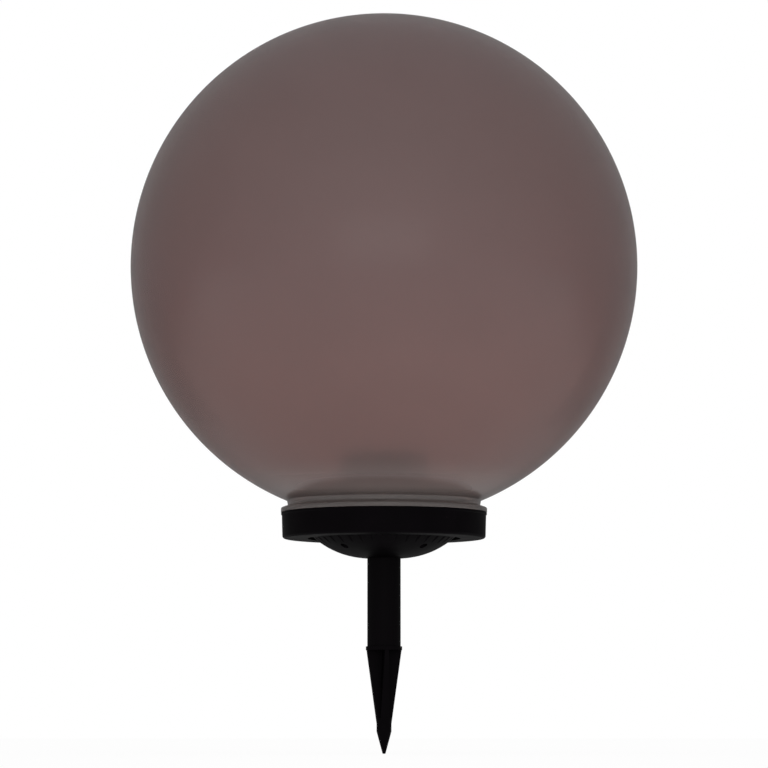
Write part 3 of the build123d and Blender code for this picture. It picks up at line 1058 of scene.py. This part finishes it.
@dataclass
class PanelTrim:
    """The silver ribbons that join the solar cells. Sizes are in millimetres."""

    cell_count: int = 6
    cell_pitch: float = 11.6
    cell_circle: float = 36.0
    ribbon_width: float = 1.2
    ribbon_thickness: float = 0.08
    ribbon_inset: float = 1.2
    cell_top_z: float = 186.0

    def cell_x(self, index: int) -> float:
        """Middle of a cell.

        Args:
            index: which cell, from the left.

        Returns:
            Its place across the panel.
        """
        return (index - (self.cell_count - 1) / 2) * self.cell_pitch

    def reach(self, x: float) -> float:
        """How far a ribbon goes from the panel's middle line.

        Args:
            x: the ribbon's place across the panel.

        Returns:
            Half its length.
        """
        return math.sqrt(self.cell_circle**2 - (abs(x) + self.ribbon_width / 2) ** 2) - self.ribbon_inset

    def build(self) -> None:
        """Makes one ribbon down each cell, and a link to the next cell at alternate ends."""
        mesh = bmesh.new()
        z = self.cell_top_z + self.ribbon_thickness / 2
        for index in range(self.cell_count):
            x = self.cell_x(index)
            bar(mesh, (x, 0, z), (self.ribbon_width, 2 * self.reach(x), self.ribbon_thickness))
        link_size = (self.cell_pitch + self.ribbon_width, self.ribbon_width, self.ribbon_thickness)
        for index in range(self.cell_count - 1):
            x, following = self.cell_x(index), self.cell_x(index + 1)
            side = 1 if index % 2 else -1
            y = side * (min(self.reach(x), self.reach(following)) - self.ribbon_width)
            bar(mesh, ((x + following) / 2, y, z), link_size)
        finished(mesh, "solar_ribbons", SOLDER, Body.BASE)


@dataclass
class BoardTrim:
    """Solder, a chip's legs and a capacitor's cap on the controller board. Sizes are in millimetres.

    The solder's profile is given as shares of its radius and of its height, from its foot up.
    """

    board_top_z: float = 123.6
    lead_radius: float = 0.8
    lead_feet: tuple[tuple[float, float], ...] = (
        (10.0, 12.0),
        (-10.0, 12.0),
        (20.0, 18.0),
        (-20.0, 18.0),
        (-20.0, 22.0),
        (-20.0, 31.0),
    )
    contact_tops: tuple[Point, ...] = ((37.05, -17.0, 130.9), (-37.05, -17.0, 130.9))
    solder_radius: float = 1.7
    solder_height: float = 1.2
    solder_profile: tuple[tuple[float, float], ...] = ((1.0, 0.0), (0.72, 0.25), (0.56, 0.6))
    solder_overlap: float = 0.1
    solder_edge: float = 0.02
    solder_facets: int = 20
    chip: tuple[float, float] = (12.0, 41.0)
    chip_half_width: float = 2.5
    leg_count: int = 4
    leg_pitch: float = 1.9
    leg_width: float = 0.5
    leg_thickness: float = 0.2
    leg_reach: float = 1.0
    leg_root: float = 0.1
    leg_bend_share: float = 0.35
    leg_lean: float = 0.15
    leg_shoulder_z: float = 0.8
    can: tuple[float, float] = (-13.0, 38.0)
    can_radius: float = 3.0
    can_height: float = 9.0
    cap_rise: float = 0.12
    cap_sink: float = 0.05
    cap_top_share: float = 0.72
    cap_foot_share: float = 0.8
    cap_facets: int = 32

    def solder_mesh(self) -> Mesh:
        """Turns a collar of solder round a lead.

        Returns:
            The collar, on the axis.
        """
        inner = self.lead_radius - self.solder_overlap
        shape = Turning(inner, 0)
        for radius_share, height_share in self.solder_profile:
            shape.line(self.solder_radius * radius_share, self.solder_height * height_share)
        shape.line(self.lead_radius + self.solder_edge, self.solder_height).line(inner, self.solder_height)
        return shape.close().spin(self.solder_facets)

    def leg_mesh(self) -> Mesh:
        """Makes all the chip's legs: a bent section, widened, and repeated along both sides.

        Returns:
            The legs, in place on the board.
        """
        side = self.chip_half_width
        start, foot = side - self.leg_root, side + self.leg_reach
        high, thick = self.leg_shoulder_z, self.leg_thickness
        bend = side + self.leg_reach * self.leg_bend_share
        section = [(start, high), (bend, high), (bend + self.leg_lean, thick), (foot, thick)]
        section += [(foot, 0), (bend, 0), (bend - self.leg_lean, high - thick), (start, high - thick)]
        mesh = bmesh.new()
        face = mesh.faces.new([mesh.verts.new((0, y * MM, z * MM)) for y, z in section])
        swept = bmesh.ops.extrude_face_region(mesh, geom=[face])["geom"]
        move(mesh, (self.leg_width, 0, 0), points_of(swept))
        middle = (self.leg_count - 1) / 2
        row = [(index - middle) * self.leg_pitch - self.leg_width / 2 for index in range(self.leg_count)]
        repeat_at(mesh, [(x, 0, 0) for x in row])
        repeat_round(mesh, 2)
        move(mesh, (*self.chip, self.board_top_z))
        bmesh.ops.recalc_face_normals(mesh, faces=mesh.faces)
        return mesh

    def cap_mesh(self) -> Mesh:
        """Turns the capacitor's metal cap.

        Returns:
            The cap, in place on the can.
        """
        cap = Turning(0, self.cap_rise).line(self.can_radius * self.cap_top_share, self.cap_rise)
        cap.line(self.can_radius * self.cap_foot_share, -self.cap_sink).line(0, -self.cap_sink)
        mesh = cap.spin(self.cap_facets)
        move(mesh, (*self.can, self.board_top_z + self.can_height))
        return mesh

    def build(self) -> None:
        """Makes the solder, the legs and the capacitor's cap."""
        solder = self.solder_mesh()
        repeat_at(solder, [(x, y, self.board_top_z) for x, y in self.lead_feet] + list(self.contact_tops))
        finished(solder, "lead_solder", SOLDER, Body.BASE)
        finished(self.leg_mesh(), "chip_legs", NICKEL, Body.BASE)
        finished(self.cap_mesh(), "capacitor_cap", NICKEL, Body.BASE)


@dataclass
class CellTrim:
    """The paper washer round the battery cell's raised end. Sizes are in millimetres."""

    end: Point = (34.8, -17.0, 124.7)
    inner_radius: float = 3.3
    outer_radius: float = 7.9
    thickness: float = 0.2
    facets: int = 40

    def build(self) -> None:
        """Makes the washer and stands it on the cell's end."""
        shape = Turning(self.inner_radius, 0).line(self.outer_radius, 0)
        shape.line(self.outer_radius, self.thickness).line(self.inner_radius, self.thickness)
        mesh = shape.close().spin(self.facets)
        upright = Matrix.Rotation(math.pi / 2, 3, "Y")
        bmesh.ops.rotate(mesh, verts=mesh.verts, cent=(0, 0, 0), matrix=upright)
        move(mesh, self.end)
        finished(mesh, "cell_washer", FIBRE_PAPER, Body.BASE)


@dataclass
class PackedParts:
    """The CAD nodes that stay in view, by name."""

    nodes: dict[str, bpy.types.Object]

    def dress(self) -> None:
        """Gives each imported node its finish."""
        for name, node in self.nodes.items():
            finish = CAD_FINISHES.get(name)
            if finish is None:
                continue
            node.data.materials.clear()
            node.data.materials.append(finish.material())
            log.info("%s: finished as %s", name, finish.name)


# ---------------------------------------------------------------- studio


@dataclass(frozen=True)
class Lamp:
    """A square soft lamp. Its place and its side are in metres, and its power is in watts."""

    name: str
    place: Point
    side: float
    power: float

    def hang(self, aim: Point) -> None:
        """Hangs the lamp.

        Args:
            aim: what it points at.
        """
        data = bpy.data.lights.new(self.name, "AREA")
        data.shape = "SQUARE"
        data.size = self.side
        data.energy = self.power
        lamp = bpy.data.objects.new(self.name, data)
        lamp.location = self.place
        lamp.rotation_euler = (Vector(aim) - Vector(self.place)).to_track_quat("-Z", "Y").to_euler()
        bpy.context.scene.collection.objects.link(lamp)


@dataclass
class Studio:
    """The pale floor, the soft surroundings, the lamps and the camera. Sizes are in metres.

    The surroundings and the floor get dimmer from front to back, each along its own way and between two
    places on it.
    """

    floor_z: float = -0.1045
    floor_size: float = 14.0
    floor_colour: Colour = (0.95, 0.95, 0.95)
    floor_roughness: float = 0.9
    floor_white: float = 1.10
    floor_white_share: float = 0.85
    floor_way: Point = (0, 1, 0)
    floor_ends: tuple[float, float] = (-0.5, 0.9)
    world_way: Point = (0, 0.87, 0.49)
    world_ends: tuple[float, float] = (-1.0, 0.6)
    front_level: float = 0.78
    back_level: float = 0.24
    lamps: tuple[Lamp, ...] = (
        Lamp("overhead", (0, -0.6, 3.0), 3.0, 0.8),
        Lamp("front", (0, -4.8, -0.1), 3.4, 10),
    )
    lamp_aim: Point = (0, 0, 0.3)
    camera_place: Point = (0.0, -3.330, -0.0824)
    camera_pitch: float = 5.837
    focal_px: float = 3395.66
    picture_px: float = 768.0
    sensor: float = 36.0

    def seen_share(self, sheet: Sheet) -> Socket:
        """One for the rays that see the white background, straight or through glass, and zero for the rest.

        Args:
            sheet: the node sheet.

        Returns:
            The share.
        """
        path = sheet.node("ShaderNodeLightPath").outputs
        return sheet.maths("MAXIMUM", path["Is Camera Ray"], path["Is Transmission Ray"])

    def front_share(self, sheet: Sheet, place: str, way: Point, ends: tuple[float, float]) -> Socket:
        """Brightness that falls softly from the front to the back.

        Args:
            sheet: the node sheet.
            place: the kind of coordinates, a direction in the world or a spot on the floor.
            way: the way in which it gets dimmer.
            ends: distances along that way at which it is brightest and dimmest.

        Returns:
            The brightness.
        """
        along = sheet.node("ShaderNodeVectorMath", {"operation": "DOT_PRODUCT"})
        sheet.join(along.inputs[0], sheet.node("ShaderNodeTexCoord").outputs[place])
        sheet.join(along.inputs[1], way)
        return sheet.remap(along.outputs["Value"], *ends, self.front_level, self.back_level, "SMOOTHSTEP")

    def surroundings(self) -> None:
        """Soft light from all round, more of it from the front, and white where the background is seen."""
        world = bpy.data.worlds.new("studio")
        bpy.context.scene.world = world
        world.use_nodes = True
        sheet = Sheet(world.node_tree)
        level = self.front_share(sheet, "Generated", self.world_way, self.world_ends)
        light = sheet.node("ShaderNodeBackground", Color=WHITE, Strength=level)
        white = sheet.node("ShaderNodeBackground", Color=WHITE, Strength=1.0)
        both = sheet.mix_shaders(self.seen_share(sheet), light, white)
        sheet.node("ShaderNodeOutputWorld", Surface=both.outputs[0])

    def floor_finish(self) -> bpy.types.Material:
        """Draws the floor's surface.

        Where it is seen it is nearly white, with a little of the light's shadow. For the rays that leave a
        piece's surface it glows softly, more so at the front, so that it lights the pieces from below.

        Returns:
            The material.
        """
        surface = Surface("floor_white")
        surface.set(base_color=self.floor_colour, roughness=self.floor_roughness, specular_ior_level=0.0)
        white = surface.node("ShaderNodeEmission", Color=WHITE, Strength=self.floor_white)
        white_share = surface.maths("MULTIPLY", self.seen_share(surface), self.floor_white_share)
        seen = surface.mix_shaders(white_share, surface.shader, white)
        level = self.front_share(surface, "Object", self.floor_way, self.floor_ends)
        glow = surface.node("ShaderNodeEmission", Color=WHITE, Strength=level)
        path = surface.node("ShaderNodeLightPath").outputs
        leaving = surface.maths("MAXIMUM", path["Is Glossy Ray"], path["Is Diffuse Ray"])
        glow_share = surface.maths("SUBTRACT", leaving, path["Is Transmission Ray"], clamp=True)
        both = surface.mix_shaders(glow_share, seen, glow)
        surface.join(surface.output.inputs["Surface"], both.outputs[0])
        return surface.material

    def floor(self) -> None:
        """Lays the floor just under the spike's tip."""
        mesh = bmesh.new()
        bmesh.ops.create_grid(mesh, x_segments=1, y_segments=1, size=self.floor_size / 2)
        bmesh.ops.translate(mesh, verts=mesh.verts, vec=(0, 0, self.floor_z))
        data = bpy.data.meshes.new("floor")
        mesh.to_mesh(data)
        mesh.free()
        data.materials.append(self.floor_finish())
        floor = bpy.data.objects.new("floor", data)
        bpy.context.scene.collection.objects.link(floor)

    def camera(self) -> None:
        """The camera where the photograph was taken from."""
        data = bpy.data.cameras.new("photo_camera")
        data.sensor_width = self.sensor
        data.lens = self.focal_px / self.picture_px * self.sensor
        camera = bpy.data.objects.new("photo_camera", data)
        camera.location = self.camera_place
        camera.rotation_euler = (math.radians(90 + self.camera_pitch), 0, 0)
        bpy.context.scene.collection.objects.link(camera)
        bpy.context.scene.camera = camera

    def build(self) -> None:
        """Sets the whole studio up."""
        bpy.context.scene.view_settings.view_transform = "Standard"
        self.camera()
        self.surroundings()
        self.floor()
        for lamp in self.lamps:
            lamp.hang(self.lamp_aim)


def main() -> None:
    """Builds the studio, the pieces and the finishes in order."""
    logging.basicConfig(level=logging.INFO, format="%(name)s: %(message)s")
    Studio().build()
    PackedParts(frame["nodes"]).dress()
    GlobeShell().build()
    LightTrim().build()
    PanelTrim().build()
    BoardTrim().build()
    CellTrim().build()


if __name__ == "__main__":
    main()
